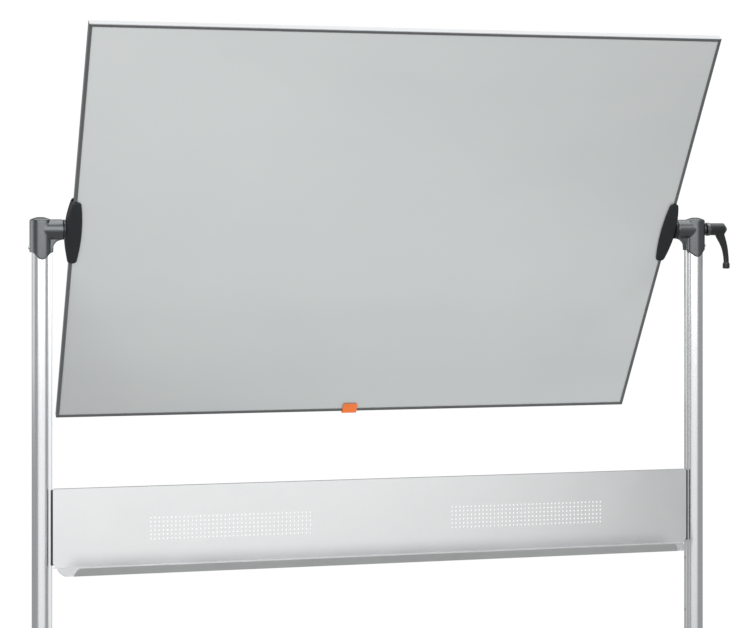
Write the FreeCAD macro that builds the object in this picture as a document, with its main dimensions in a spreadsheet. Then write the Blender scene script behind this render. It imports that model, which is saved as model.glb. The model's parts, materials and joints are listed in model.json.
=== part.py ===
import FreeCAD, Part
import math
import os
import Sketcher

# Rolling whiteboard: a double-sided board that turns over between two posts, a pen tray, and a wheeled base.
# Millimetres. +Z is up, X runs along the board, -Y is the front. The origin is on the floor under the middle
# of the overall width; the clamp lever sticks out on the right, so the posts' middle is at x = middle_x.

doc = FreeCAD.newDocument("rolling_whiteboard")
V = FreeCAD.Vector

# ---------------------------------------------------------------- driving dimensions
SIZES = {
    "middle_x": -25.5,
    "pivot_z": 1430.0,
    "tilt": 35.14,
    # board
    "board_w": 1200.0,
    "board_tall": 900.0,
    "board_drop": 3.0,
    "frame_thick": 14.0,
    "frame_wall": 1.8,
    "frame_lip": 6.0,
    "lip_thick": 1.6,
    "frame_round": 1.5,
    "mitre_gap": 0.5,
    "sheet_thick": 0.5,
    "panel_gap": 0.1,
    "panel_edge": 3.0,
    "key_leg": 40.0,
    "key_deep": 2.6,
    "key_thick": 9.0,
    "tab_wide": 30.0,
    "tab_above": 20.0,
    "tab_below": 4.2,
    "tab_thick": 1.6,
    "tab_fold_round": 2.0,
    "tab_round": 4.0,
    # pivot plates and trunnions
    "plate_half": 69.5,
    "plate_drop": 2.5,
    "plate_thick": 4.0,
    "plate_round": 1.4,
    "plate_in_mid": 581.0,
    "plate_out_mid": 612.0,
    "plate_in_end": 586.0,
    "plate_out_end": 604.0,
    "plate_tip": 5.0,
    "plate_tip_round": 8.5,
    "plate_screw_x": 604.8,
    "plate_screw_z": 30.0,
    "plate_screw_hole": 2.05,
    "plate_screw_skin": 1.2,
    "countersink_rad": 3.6,
    "countersink_deep": 2.2,
    "trunnion_inset": 0.8,
    "trunnion_root": 5.0,
    "trunnion_chamfer": 1.0,
    "hub_ring_rad": 18.3,
    "hub_end": 615.6,
    "trunnion_rad": 8.0,
    "trunnion_end": 643.0,
    # posts and knuckles
    "post_x": 657.5,
    "tube_rad": 15.85,
    "tube_wall": 2.0,
    "rail_reach": 21.5,
    "rail_half": 5.0,
    "rail_bevel": 1.0,
    "post_bottom": 97.0,
    "post_below_pivot": 14.0,
    "rail_hole_rad": 2.5,
    "rail_hole_first": 663.0,
    "rail_hole_pitch": 105.0,
    "knuckle_rad": 20.0,
    "knuckle_inner": 23.6,
    "knuckle_block": 9.0,
    "knuckle_shoulder": 16.0,
    "knuckle_top": 23.6,
    "knuckle_side": 42.0,
    "knuckle_tongue": 55.8,
    "arm_rad": 19.3,
    "arm_end": 41.5,
    "bush_rad": 10.0,
    "bush_fit": 0.05,
    "bush_long": 27.5,
    "set_screw_drop": 33.0,
    "knuckle_corner": 3.0,
    "shoulder_round": 4.4,
    "crown_start": 4.0,
    "crown_set_in": 3.0,
    "crown_lap": 6.0,
    "arm_round": 1.2,
    "web_set_in": 1.0,
    "web_top": 31.0,
    "web_low": 36.0,
    "web_round": 17.0,
    "tongue_flat": 3.0,
    "tongue_flare": 6.3,
    "tongue_ease": 1.7,
    "tongue_hollow": 4.0,
    "tongue_half": 8.2,
    "tongue_dip": 9.4,
    "tongue_shift": 1.8,
    "tongue_reach": 5.3,
    "tongue_round": 10.0,
    "post_fit": 0.03,
    # clamp lever
    "boss_rad": 9.35,
    "boss_end": 23.1,
    "boss_chamfer": 0.8,
    "insert_rad": 6.0,
    "insert_long": 24.0,
    "stud_rad": 4.0,
    "stud_chamfer": 0.8,
    "collar_start": 24.0,
    "collar_end": 31.6,
    "collar_rad": 13.2,
    "hub_start": 32.4,
    "hub_finish": 61.5,
    "hub_rad": 12.25,
    "hub_nose": 66.0,
    "spline_rad": 7.0,
    "spline_end": 35.0,
    "shaft_rad": 5.0,
    "shaft_end": 44.0,
    "hub_round": 0.6,
    "hub_gap": 0.5,
    "nose_wall": 1.6,
    "handle_web": 2.0,
    "spring_long": 9.0,
    "spring_wire": 1.5,
    "lever_screw_rad": 1.95,
    "lever_screw_deep": 8.0,
    "button_rad": 5.2,
    "button_gap": 0.2,
    "button_end": 68.4,
    "button_chamfer": 1.0,
    "knob_rad": 7.2,
    "knob_top": 68.0,
    "knob_bottom": 80.0,
    "knob_x": 68.5,
    "knob_round": 2.5,
    # pen tray
    "tray_half": 635.0,
    "tray_front": 8.5,
    "tray_sheet": 1.2,
    "tray_top": 484.0,
    "tray_fold": 630.0,
    "tray_flange": 12.0,
    "trough_deep": 46.5,
    "trough_drop": 642.0,
    "tray_lip_y": 56.0,
    "tray_lip_top": 626.0,
    "tray_top_corner": 1.5,
    "tray_low_corner": 5.0,
    "floor_near": 8.0,
    "floor_far": 19.5,
    "floor_round": 60.0,
    "lip_low_in": 34.0,
    "lip_top_in": 62.0,
    "lip_round": 24.0,
    "fold_over": 0.5,
    "fold_under": 2.5,
    "hole_rad": 1.8,
    "hole_pitch": 7.92,
    "hole_first_x": 142.2,
    "hole_first_z": 543.6,
    "bracket_out": 638.6,
    "bracket_set_back": 1.2,
    "bracket_in": 604.0,
    "bracket_top": 486.0,
    "bracket_bottom": 626.0,
    "bracket_thick": 2.0,
    "bracket_screw_top": 518.0,
    "bracket_screw_low": 594.0,
    # base
    "foot_half": 296.0,
    "foot_wide": 50.0,
    "foot_bottom": 66.0,
    "foot_tall": 25.0,
    "foot_wall": 2.0,
    "foot_round": 8.0,
    "cap_plate": 4.0,
    "cap_plug": 60.0,
    "cap_step": 1.5,
    "foot_bolt_hole": 4.2,
    "socket_wide": 46.0,
    "socket_long": 120.0,
    "socket_base": 12.0,
    "socket_rad": 21.0,
    "socket_top": 150.0,
    "socket_bolt_y": 44.0,
    "socket_step": 1.5,
    "socket_corner": 14.0,
    "rib_top": 46.0,
    "rib_low": 8.0,
    "rib_round": 16.0,
    "rib_thick": 7.0,
    # casters
    "caster_y": 262.0,
    "trail": 18.0,
    "wheel_rad": 25.0,
    "tyre_thick": 4.0,
    "axle_rad": 3.0,
    "web_half": 7.0,
    "wheel_in": 7.8,
    "wheel_out": 22.8,
    "hood_half": 24.5,
    "hood_out": 30.0,
    "hood_in": 27.0,
    "hood_top": 62.0,
    "web_disc": 20.0,
    "neck_half": 9.0,
    "neck_low": 28.0,
    "boss_low": 50.0,
    "boss_wide": 12.0,
    "stem_rad": 4.0,
    "stem_low": 36.0,
    "stem_chamfer": 0.8,
    "stem_flange": 9.0,
    "stem_gap": 0.4,
    "thread_rad": 5.0,
    "thread_long": 18.0,
    "wheel_hub": 4.0,
    "wheel_web_in": 5.5,
    "wheel_web_out": 8.5,
    "rim_thick": 2.0,
    "rim_side": 0.6,
    "tyre_round": 1.5,
    "pedal_half": 9.3,
    "pedal_gap": 0.3,
    "pedal_tab": 12.0,
    "pedal_pin": 1.05,
    "pedal_pin_at": 28.5,
    "pedal_pin_out": 2.2,
}

# Gaps between pieces: touching faces, a hand-tight slip and how far a cutting shape runs past its material.
TOUCH = 0.02
SLIP = 0.05
OVERCUT = 2.0
# Screws: head radius and height, shank radius and length, and the drive socket's radius.
PLATE_SCREW = (3.5, 2.0, 2.0, 18.0, 1.4)
KNUCKLE_SCREW = (3.4, 2.0, 2.5, 3.9, 1.6)
TRAY_SCREW = (3.6, 2.2, 2.0, 9.0, 1.4)
SOCKET_BOLT = (6.5, 5.0, 3.4, 34.0, 2.5)
SOCKET_SHARE = 0.6

sheet = doc.addObject("Spreadsheet::Sheet", "Dims")
for row, (alias, number) in enumerate(SIZES.items(), start=1):
    sheet.set(f"A{row}", alias)
    sheet.set(f"B{row}", str(number))
    sheet.setAlias(f"B{row}", alias)
doc.recompute()


class Size:
    """A length with both its value and the expression that works it out from the sheet."""

    def __init__(self, value, text):
        self.value = float(value)
        self.text = text

    def __add__(self, other):
        other = size(other)
        return Size(self.value + other.value, f"({self.text} + {other.text})")

    def __sub__(self, other):
        other = size(other)
        return Size(self.value - other.value, f"({self.text} - {other.text})")

    def __mul__(self, other):
        other = size(other)
        return Size(self.value * other.value, f"({self.text} * {other.text})")

    def __truediv__(self, other):
        other = size(other)
        return Size(self.value / other.value, f"({self.text} / {other.text})")

    def __neg__(self):
        return Size(-self.value, f"(-1 * {self.text})")

    def __radd__(self, other):
        return size(other) + self

    def __rsub__(self, other):
        return size(other) - self

    def __rmul__(self, other):
        return size(other) * self


def size(thing):
    """A Size from a Size or a plain number."""
    if isinstance(thing, Size):
        return thing
    return Size(thing, f"{float(thing):.6f}")


def dim(alias):
    """The Size of one cell of the sheet."""
    return Size(sheet.get(alias), f"Dims.{alias}")


def bind(thing, name, amount):
    """Binds one property of a document object to the sheet."""
    thing.setExpression(name, size(amount).text)


cos_tilt = Size(math.cos(math.radians(SIZES["tilt"])), "cos(Dims.tilt * 1 deg)")
sin_tilt = Size(math.sin(math.radians(SIZES["tilt"])), "sin(Dims.tilt * 1 deg)")
SUB_PARTS = []


# ---------------------------------------------------------------- helpers: bodies, sketches, features
def new_body(label, keep=True):
    body = doc.addObject("PartDesign::Body", label)
    body.Label = label
    if keep:
        SUB_PARTS.append(body)
    return body


def place(thing, x, y, z, turn=None):
    """Puts a sub-part's own origin at x, y, z, turned by a Rotation."""
    x, y, z = size(x), size(y), size(z)
    thing.Placement = FreeCAD.Placement(V(x.value, y.value, z.value), turn or FreeCAD.Rotation())
    bind(thing, "Placement.Base.x", x)
    bind(thing, "Placement.Base.y", y)
    bind(thing, "Placement.Base.z", z)


def place_at_pivot(thing, x=0, y=0, z=0, turn=None):
    """Puts a sub-part in the frame of the posts' tops: x from the posts' middle, z from the pivot axis."""
    place(thing, dim("middle_x") + x, y, dim("pivot_z") + z, turn)


def place_on_board(thing, u=0, v=0, w=0, turn=None):
    """Puts a sub-part in the tilted board's frame: u along it, v up it, w out of its front."""
    u, v, w = size(u), size(v), size(w)
    tilted = FreeCAD.Rotation(V(1, 0, 0), SIZES["tilt"])
    place_at_pivot(
        thing,
        u,
        -(w * cos_tilt) - v * sin_tilt,
        v * cos_tilt - w * sin_tilt,
        tilted.multiply(turn) if turn else tilted,
    )


def new_sketch(body, plane, lift=0):
    """A sketch on one of the body's own origin planes, lifted along that plane's normal."""
    sketch = body.newObject("Sketcher::SketchObject", f"{body.Name}_outline")
    base = [f for f in body.Origin.OriginFeatures if f.Role == plane][0]
    sketch.AttachmentSupport = [(base, "")]
    sketch.MapMode = "FlatFace"
    lift = size(lift)
    sketch.AttachmentOffset = FreeCAD.Placement(V(0, 0, lift.value), FreeCAD.Rotation())
    bind(sketch, "AttachmentOffset.Base.z", lift)
    return sketch


def fix_point(sketch, geo, corner, x, y):
    """Holds one point of the sketch at x, y."""
    for kind, amount in (("DistanceX", size(x)), ("DistanceY", size(y))):
        index = sketch.addConstraint(Sketcher.Constraint(kind, -1, 1, geo, corner, amount.value))
        sketch.setExpression(f"Constraints[{index}]", amount.text)


def arc_centre(start, end, radius):
    """The centre of the short arc from start to end; a positive radius turns anticlockwise."""
    middle = (start + end) * 0.5
    chord = end - start
    half = chord.Length / 2
    rise = math.sqrt(max(radius * radius - half * half, 0.0))
    left = V(-chord.y, chord.x, 0).normalize()
    return middle + left * (rise if radius > 0 else -rise)


def trace(sketch, path, side=1):
    """Draws a closed outline. A point is (x, y) or (x, y, radius): the radius bends the run to the next one,
    anticlockwise if positive. side = -1 draws the outline's mirror image in the sketch's own Y axis."""
    points = [(size(p[0]) * side, size(p[1])) for p in path]
    bends = [size(p[2]) * side if len(p) > 2 else None for p in path]
    flat = [V(x.value, y.value, 0) for x, y in points]
    ends = []
    for i, bend in enumerate(bends):
        start, end = flat[i], flat[(i + 1) % len(flat)]
        if bend is None:
            ends.append((sketch.addGeometry(Part.LineSegment(start, end), False), 1, 2))
            continue
        centre = arc_centre(start, end, bend.value)
        circle = Part.Circle(centre, V(0, 0, 1), abs(bend.value))
        a, b = (start, end) if bend.value > 0 else (end, start)
        first = math.atan2(a.y - centre.y, a.x - centre.x)
        last = math.atan2(b.y - centre.y, b.x - centre.x)
        if last < first:
            last += 2 * math.pi
        geo = sketch.addGeometry(Part.ArcOfCircle(circle, first, last), False)
        ends.append((geo, 1, 2) if bend.value > 0 else (geo, 2, 1))
    for i, (geo, start, end) in enumerate(ends):
        after = ends[(i + 1) % len(ends)]
        sketch.addConstraint(Sketcher.Constraint("Coincident", geo, end, after[0], after[1]))
        fix_point(sketch, geo, start, *points[i])
        if bends[i] is not None:
            amount = bends[i] if bends[i].value > 0 else -bends[i]
            index = sketch.addConstraint(Sketcher.Constraint("Radius", geo, amount.value))
            sketch.setExpression(f"Constraints[{index}]", amount.text)


def ring(sketch, x, y, radius):
    """Draws a circle."""
    x, y, radius = size(x), size(y), size(radius)
    geo = sketch.addGeometry(Part.Circle(V(x.value, y.value, 0), V(0, 0, 1), radius.value), False)
    fix_point(sketch, geo, 3, x, y)
    index = sketch.addConstraint(Sketcher.Constraint("Radius", geo, radius.value))
    sketch.setExpression(f"Constraints[{index}]", radius.text)


def box_path(x0, y0, x1, y1):
    return [(x0, y0), (x1, y0), (x1, y1), (x0, y1)]


def rounded_path(x0, y0, x1, y1, r):
    """A rectangle's outline with quarter-round corners."""
    x0, y0, x1, y1, r = size(x0), size(y0), size(x1), size(y1), size(r)
    return [
        (x0 + r, y0), (x1 - r, y0, r), (x1, y0 + r), (x1, y1 - r, r),
        (x1 - r, y1), (x0 + r, y1, r), (x0, y1 - r), (x0, y0 + r, r),
    ]


def pad(body, sketch, length, middle=False, back=False):
    feature = body.newObject("PartDesign::Pad", f"{body.Name}_pad")
    feature.Profile = sketch
    feature.Midplane = middle
    feature.Reversed = back
    bind(feature, "Length", length)
    return feature


def cut(body, sketch, length, middle=False, back=False):
    """Takes material away. Without back it cuts against the sketch's normal."""
    feature = body.newObject("PartDesign::Pocket", f"{body.Name}_pocket")
    feature.Profile = sketch
    feature.Midplane = middle
    feature.Reversed = back
    bind(feature, "Length", length)
    return feature


def spin(body, sketch, axis):
    """A full turn of the sketch about its own horizontal or vertical axis."""
    feature = body.newObject("PartDesign::Revolution", f"{body.Name}_turned")
    feature.Profile = sketch
    feature.ReferenceAxis = (sketch, [axis])
    feature.Angle = 360
    return feature


def pad_shape(body, plane, path, length, lift=0, middle=False, back=False, side=1):
    sketch = new_sketch(body, plane, lift)
    trace(sketch, path, side)
    return pad(body, sketch, length, middle, back)


def cut_shape(body, plane, path, length, lift=0, middle=False, back=False, side=1):
    sketch = new_sketch(body, plane, lift)
    trace(sketch, path, side)
    return cut(body, sketch, length, middle, back)


def cut_round(body, plane, x, y, radius, length, lift=0, middle=False, back=False):
    sketch = new_sketch(body, plane, lift)
    ring(sketch, x, y, radius)
    return cut(body, sketch, length, middle, back)


def spin_shape(body, plane, path, axis, side=1):
    sketch = new_sketch(body, plane)
    trace(sketch, path, side)
    return spin(body, sketch, axis)


def together(label, members):
    """Identical separate solids that share one node."""
    group = doc.addObject("Part::Compound", label)
    group.Label = label
    group.Links = members
    SUB_PARTS.append(group)
    return group


def screw(label, head_rad, head_tall, shank_rad, shank_long, socket_rad=0, sunk=False):
    """A screw along +Z: its head starts at z = 0 and its shank ends at the far end."""
    body = new_body(label, keep=False)
    head = [(0, 0), (head_rad, 0)] if sunk else [(0, 0), (head_rad, 0), (head_rad, head_tall)]
    end = head_tall + shank_long
    spin_shape(body, "XZ_Plane", head + [(shank_rad, head_tall), (shank_rad, end), (0, end)], "V_Axis")
    if socket_rad:
        corners = [math.radians(60 * i) for i in range(6)]
        hexagon = [(socket_rad * math.cos(a), socket_rad * math.sin(a)) for a in corners]
        cut_shape(body, "XY_Plane", hexagon, head_tall * SOCKET_SHARE, back=True)
    return body


FACING = {
    "+x": FreeCAD.Rotation(V(0, 0, 1), V(1, 0, 0)),
    "-x": FreeCAD.Rotation(V(0, 0, 1), V(-1, 0, 0)),
    "+y": FreeCAD.Rotation(V(0, 0, 1), V(0, 1, 0)),
    "-y": FreeCAD.Rotation(V(0, 0, 1), V(0, -1, 0)),
}
HALF_TURN = FreeCAD.Rotation(V(0, 0, 1), 180)
SIDES = (("left", -1), ("right", 1))


def post_path(grow=0):
    """The post's section, grown by a clearance: a round tube with a narrow bevelled rail on its -X side."""
    r = dim("tube_rad") + grow
    half = dim("rail_half") + grow
    reach = dim("rail_reach") + grow
    bevel = dim("rail_bevel")
    root = Size(math.sqrt(r.value**2 - half.value**2), f"sqrt({r.text}^2 - {half.text}^2)")
    return [
        (-root, half), (-reach + bevel, half), (-reach, half - bevel), (-reach, -half + bevel),
        (-reach + bevel, -half), (-root, -half, r), (0, -r, r), (r, 0, r), (0, r, r),
    ]


def keyhole_path(r, inner):
    """The section of the castings round a post: a circle of radius r with a block out to x = -inner."""
    block, soft = dim("knuckle_block"), dim("knuckle_corner")
    root = Size(math.sqrt(r.value**2 - block.value**2), f"sqrt({r.text}^2 - {block.text}^2)")
    return [
        (-root, block), (-inner + soft, block, soft), (-inner, block - soft), (-inner, -block + soft, soft),
        (-inner + soft, -block), (-root, -block, r), (0, -r, r), (r, 0, r), (0, r, r),
    ]


# ---------------------------------------------------------------- board
def make_frame_lengths():
    """Four lengths of one edge profile, mitred at the corners with a hairline gap."""
    wall, lip, thin = dim("frame_wall"), dim("frame_lip"), dim("lip_thick")
    half, r = dim("frame_thick") / 2, dim("frame_round")
    # The section: the first number runs in from the board's edge, the second through its thickness.
    # The runs that start at the first and ninth points are the two rounded outer edges.
    section = [
        (0, -half + r), (r, -half), (lip, -half), (lip, -half + thin), (wall, -half + thin),
        (wall, half - thin), (lip, half - thin), (lip, half), (r, half), (0, half - r),
    ]
    rounded = (0, 8)
    gap, reach, beyond = dim("mitre_gap"), lip + OVERCUT, OVERCUT / 2
    for label, lengthways, sign in (
        ("frame_top", True, 1), ("frame_bottom", True, -1),
        ("frame_right", False, 1), ("frame_left", False, -1),
    ):
        body = new_body(label)
        far = (dim("board_w") if lengthways else dim("board_tall")) / 2
        edge = (dim("board_tall") if lengthways else dim("board_w")) / 2
        path = []
        for i, (into, through) in enumerate(section):
            point = (through, (edge - into) * sign) if lengthways else ((edge - into) * sign, through)
            bend = (r * (sign if lengthways else -sign),) if i in rounded else ()
            path.append(point + bend)
        pad_shape(body, "YZ_Plane" if lengthways else "XY_Plane", path, far * 2, middle=True)
        # a mitre at each end leaves half of the gap
        wedge = [
            (far - gap - reach, edge - reach), (far + beyond, edge - reach),
            (far + beyond, edge + beyond), (far - gap + beyond, edge + beyond),
        ]
        for end in (-1, 1):
            outline = [(x * end, z * sign) if lengthways else (z * sign, x * end) for x, z in wedge]
            cut_shape(body, "XZ_Plane", outline, dim("frame_thick") + OVERCUT, middle=True)
        place_on_board(body, v=-dim("board_drop"))


def make_panel_layers():
    """Core and the two lacquered sheets, held in the frame's channel."""
    edge_x = dim("board_w") / 2 - dim("frame_wall") - dim("panel_edge")
    edge_z = dim("board_tall") / 2 - dim("frame_wall") - dim("panel_edge")
    inside = dim("frame_thick") / 2 - dim("lip_thick") - dim("panel_gap")
    thin = dim("sheet_thick")
    outline = box_path(-edge_x, -edge_z, edge_x, edge_z)
    # XZ_Plane's normal is -Y, so a positive lift is towards the front.
    for label, lift, thick in (
        ("front_sheet", inside - thin, thin),
        ("core_panel", -inside + thin, (inside - thin) * 2),
        ("back_sheet", -inside, thin),
    ):
        body = new_body(label)
        pad_shape(body, "XZ_Plane", outline, thick, lift=lift)
        place_on_board(body, v=-dim("board_drop"))


def make_corner_keys():
    """An L-shaped key in each corner of the frame, between its outer wall and the panel's edge."""
    keys = []
    far_x = dim("board_w") / 2 - dim("frame_wall") - 0.2
    far_z = dim("board_tall") / 2 - dim("frame_wall") - 0.2
    leg, deep = dim("key_leg"), dim("key_deep")
    for i, (sx, sz) in enumerate(((-1, 1), (1, 1), (-1, -1), (1, -1)), start=1):
        body = new_body(f"corner_key_{i}", keep=False)
        path = [
            (far_x, far_z), (far_x - leg, far_z), (far_x - leg, far_z - deep),
            (far_x - deep, far_z - deep), (far_x - deep, far_z - leg), (far_x, far_z - leg),
        ]
        pad_shape(body, "XZ_Plane", [(x, z * sz) for x, z in path], dim("key_thick"), middle=True, side=sx)
        place_on_board(body, v=-dim("board_drop"))
        keys.append(body)
    together("corner_keys", keys)


def make_edge_tab():
    """A plain tab clipped over the bottom edge."""
    body = new_body("edge_tab")
    edge = -dim("board_tall") / 2
    near = dim("frame_thick") / 2 + SLIP
    far = near + dim("tab_thick")
    top = edge + dim("tab_above")
    low = edge - dim("tab_below")
    soft = dim("tab_fold_round")
    path = [
        (-far, low + soft, soft), (-far + soft, low), (far - soft, low, soft), (far, low + soft), (far, top),
        (near, top), (near, edge - SLIP), (-near, edge - SLIP), (-near, top), (-far, top),
    ]
    pad_shape(body, "YZ_Plane", path, dim("tab_wide"), middle=True)
    # rounded top corners
    half, r, beyond = dim("tab_wide") / 2, dim("tab_round"), OVERCUT / 2
    corner = [
        (half - r, top + beyond), (half - r, top, -r), (half, top - r), (half + beyond, top - r),
        (half + beyond, top + beyond),
    ]
    for sign in (-1, 1):
        cut_shape(body, "XZ_Plane", corner, far * 2 + OVERCUT, middle=True, side=sign)
    place_on_board(body, v=-dim("board_drop"))


def lens_path(inset=0, inner=None):
    """The pivot plates' outline on the right: two long shallow curves with rounded ends. With inner, only the
    outer curve, closed by a straight edge at x = inner and lowered as the plates are."""
    half = dim("plate_half") - inset
    bend_end, tip_round = half - dim("plate_tip"), dim("plate_tip_round")
    in_mid, out_mid = dim("plate_in_mid") + inset, dim("plate_out_mid") - inset
    in_end, out_end = dim("plate_in_end") + inset, dim("plate_out_end") - inset
    tip = (in_end + out_end) / 2

    def bow(sagitta):
        return (bend_end * bend_end + sagitta * sagitta) / (sagitta * 2)

    outer, inside = bow(out_mid - out_end), bow(in_end - in_mid)
    if inner is not None:
        low, high = -bend_end - dim("plate_drop"), bend_end - dim("plate_drop")
        return [(inner, low), (out_end, low, outer), (out_end, high), (inner, high)]
    return [
        (out_end, -bend_end, outer), (out_end, bend_end, tip_round), (tip, half, tip_round),
        (in_end, bend_end, inside), (in_end, -bend_end, tip_round), (tip, -half, tip_round),
    ]


def make_pivot_plates():
    """A front and a rear plate on each side edge; the rear ones have countersunk screw holes."""
    lift = dim("frame_thick") / 2 + TOUCH
    thick, soft, hole = dim("plate_thick"), dim("plate_round"), dim("plate_screw_hole")
    screw_x, screw_z = dim("plate_screw_x"), dim("plate_screw_z")
    for name, side in SIDES:
        for face, front in (("front", 1), ("rear", -1)):
            body = new_body(f"pivot_plate_{face}_{name}")
            step, rear = lift + thick - soft, front < 0
            pad_shape(body, "XZ_Plane", lens_path(), thick - soft, lift=lift * front, side=side, back=rear)
            pad_shape(body, "XZ_Plane", lens_path(soft), soft, lift=step * front, side=side, back=rear)
            deep = thick - dim("plate_screw_skin") if front > 0 else thick
            for end in (-1, 1):
                x, z = screw_x * side, screw_z * end
                cut_round(body, "XZ_Plane", x, z, hole, deep, lift=lift * front, back=front > 0)
                if front < 0:
                    cut_round(body, "XZ_Plane", x, z, dim("countersink_rad"), dim("countersink_deep"),
                              lift=-(lift + thick), back=True)
            place_on_board(body, v=-dim("plate_drop"))


def make_trunnions():
    """Between the plates on each side: a lens-shaped block, a hub ring and the board's shaft."""
    block_half = dim("frame_thick") / 2
    inner = dim("board_w") / 2 + SLIP * 2
    root, neck_rad = inner + dim("trunnion_root"), block_half - SLIP * 2
    ring_rad, shaft, soft = dim("hub_ring_rad"), dim("trunnion_rad"), dim("trunnion_chamfer")
    neck, end, far = dim("plate_out_mid") + SLIP * 3, dim("hub_end"), dim("trunnion_end")
    for name, side in SIDES:
        body = new_body(f"trunnion_{name}")
        path = lens_path(dim("trunnion_inset"), inner)
        pad_shape(body, "XZ_Plane", path, block_half * 2, middle=True, side=side)
        spin_shape(body, "XZ_Plane", [
            (root, 0), (root, neck_rad), (neck, neck_rad), (neck, ring_rad), (end - soft, ring_rad),
            (end, ring_rad - soft), (end, shaft), (far - soft, shaft), (far, shaft - soft), (far, 0),
        ], "H_Axis", side)
        for sign in (-1, 1):
            cut_round(body, "XZ_Plane", dim("plate_screw_x") * side,
                      dim("plate_screw_z") * sign - dim("plate_drop"), dim("plate_screw_hole"),
                      block_half * 2 + OVERCUT, middle=True)
        place_on_board(body)


def make_plate_screws():
    """Four countersunk screws, from the rear plates through the trunnions into the front plates."""
    screws = []
    rear = dim("frame_thick") / 2 + dim("plate_thick") + TOUCH
    for name, side in SIDES:
        for end in (-1, 1):
            level = "low" if end < 0 else "high"
            body = screw(f"plate_screw_{name}_{level}", *PLATE_SCREW, sunk=True)
            place_on_board(body, u=dim("plate_screw_x") * side,
                           v=dim("plate_screw_z") * end - dim("plate_drop"), w=-rear, turn=FACING["-y"])
            screws.append(body)
    together("plate_screws", screws)


# ---------------------------------------------------------------- posts and knuckles
def make_posts():
    """Extruded posts with a rail of fixing holes on the inner side."""
    length = dim("pivot_z") - dim("post_below_pivot") - dim("post_bottom")
    drops = (
        dim("bracket_screw_top"), dim("bracket_screw_low"), dim("rail_hole_first"),
        dim("rail_hole_first") + dim("rail_hole_pitch"),
    )
    for name, side in SIDES:
        body = new_body(f"post_{name}")
        sketch = new_sketch(body, "XY_Plane")
        trace(sketch, post_path())
        ring(sketch, 0, 0, dim("tube_rad") - dim("tube_wall"))
        pad(body, sketch, length)
        for drop in drops:
            up = dim("pivot_z") - drop - dim("post_bottom")
            cut_round(body, "YZ_Plane", 0, up, dim("rail_hole_rad"), dim("rail_reach") + OVERCUT)
        place(body, dim("middle_x") + dim("post_x") * side, 0, dim("post_bottom"),
              HALF_TURN if side < 0 else None)


def make_knuckles():
    """Cast caps on the posts, each with an arm that carries a bush for the trunnion."""
    r, block = dim("knuckle_rad"), dim("knuckle_block")
    arm, arm_end, soft = dim("arm_rad"), dim("arm_end"), dim("arm_round")
    side_low, tongue, top = dim("knuckle_side"), dim("knuckle_tongue"), dim("knuckle_top")
    shoulder, crown, lap = dim("knuckle_shoulder"), dim("crown_start"), dim("crown_lap")
    web_x, web_top, web_low = -arm_end + dim("web_set_in"), dim("web_top"), dim("web_low")
    boss_rad, boss_end, edge = dim("boss_rad"), dim("boss_end"), dim("boss_chamfer")
    level, hollow, half = r - dim("tongue_flat"), dim("tongue_hollow"), dim("tongue_half")
    shift, reach = dim("tongue_shift"), dim("tongue_reach")
    flare, ease, dip = r - dim("tongue_flare"), side_low + dim("tongue_ease"), side_low + dim("tongue_dip")
    # the crown is two shallow cones and a flat
    crown_rad, crown_rise = r - dim("crown_set_in"), (top - shoulder - crown) / 6
    for name, side in SIDES:
        body = new_body(f"knuckle_{name}")
        plan = keyhole_path(r, dim("knuckle_inner"))
        pad_shape(body, "XY_Plane", plan, tongue + shoulder, lift=-tongue)
        spin_shape(body, "XZ_Plane", [
            (0, shoulder - lap), (r, shoulder - lap), (r, shoulder, dim("shoulder_round")),
            (crown_rad, shoulder + crown), (crown_rad / 2, top - crown_rise), (crown_rad / 4, top), (0, top),
        ], "V_Axis")
        spin_shape(body, "XZ_Plane", [
            (0, 0), (0, arm), (-arm_end + soft, arm, soft), (-arm_end, arm - soft), (-arm_end, 0),
        ], "H_Axis")
        # web under the arm
        pad_shape(body, "XZ_Plane", [
            (web_x, -arm, -dim("web_round")), (-dim("knuckle_inner"), -web_top),
            (-dim("knuckle_inner"), -web_low), (0, -web_low), (0, 0), (web_x, 0),
        ], block * 2, middle=True)
        # the lower edge dips to a tongue at the front and the back
        wide = r + OVERCUT * 6
        cut_shape(body, "XZ_Plane", [
            (-wide, -tongue - OVERCUT), (wide, -tongue - OVERCUT), (wide, -side_low),
            (level, -side_low, hollow), (flare, -ease), (half - shift, -dip, -dim("tongue_round")),
            (-half - shift, -dip), (-flare - reach, -ease, hollow), (-level - reach, -side_low),
            (-wide, -side_low),
        ], (r + OVERCUT) * 2, middle=True)
        cut_shape(body, "XY_Plane", post_path(dim("post_fit")), tongue - dim("post_below_pivot"),
                  lift=-tongue, back=True)
        cut_round(body, "YZ_Plane", 0, 0, dim("bush_rad"), dim("bush_long"), lift=-arm_end, back=True)
        cut_round(body, "YZ_Plane", 0, -dim("set_screw_drop"), KNUCKLE_SCREW[2], r, back=True)
        if side > 0:
            spin_shape(body, "XZ_Plane", [
                (r / 2, 0), (r / 2, boss_rad), (boss_end - edge, boss_rad), (boss_end, boss_rad - edge),
                (boss_end, 0),
            ], "H_Axis")
            cut_round(body, "YZ_Plane", 0, 0, dim("insert_rad"), boss_end + arm_end - dim("bush_long") + SLIP,
                      lift=boss_end)
        place_at_pivot(body, dim("post_x") * side, turn=HALF_TURN if side < 0 else None)


def make_bushes():
    """Nylon bushes that line the knuckles' arms."""
    bore, end = dim("trunnion_rad") + dim("bush_fit"), dim("arm_end")
    inner = end - dim("bush_long")
    for name, side in SIDES:
        body = new_body(f"pivot_bush_{name}")
        spin_shape(body, "XZ_Plane", [
            (-end, bore), (-end, dim("bush_rad")), (-inner, dim("bush_rad")), (-inner, bore),
        ], "H_Axis")
        place_at_pivot(body, dim("post_x") * side, turn=HALF_TURN if side < 0 else None)


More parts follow.
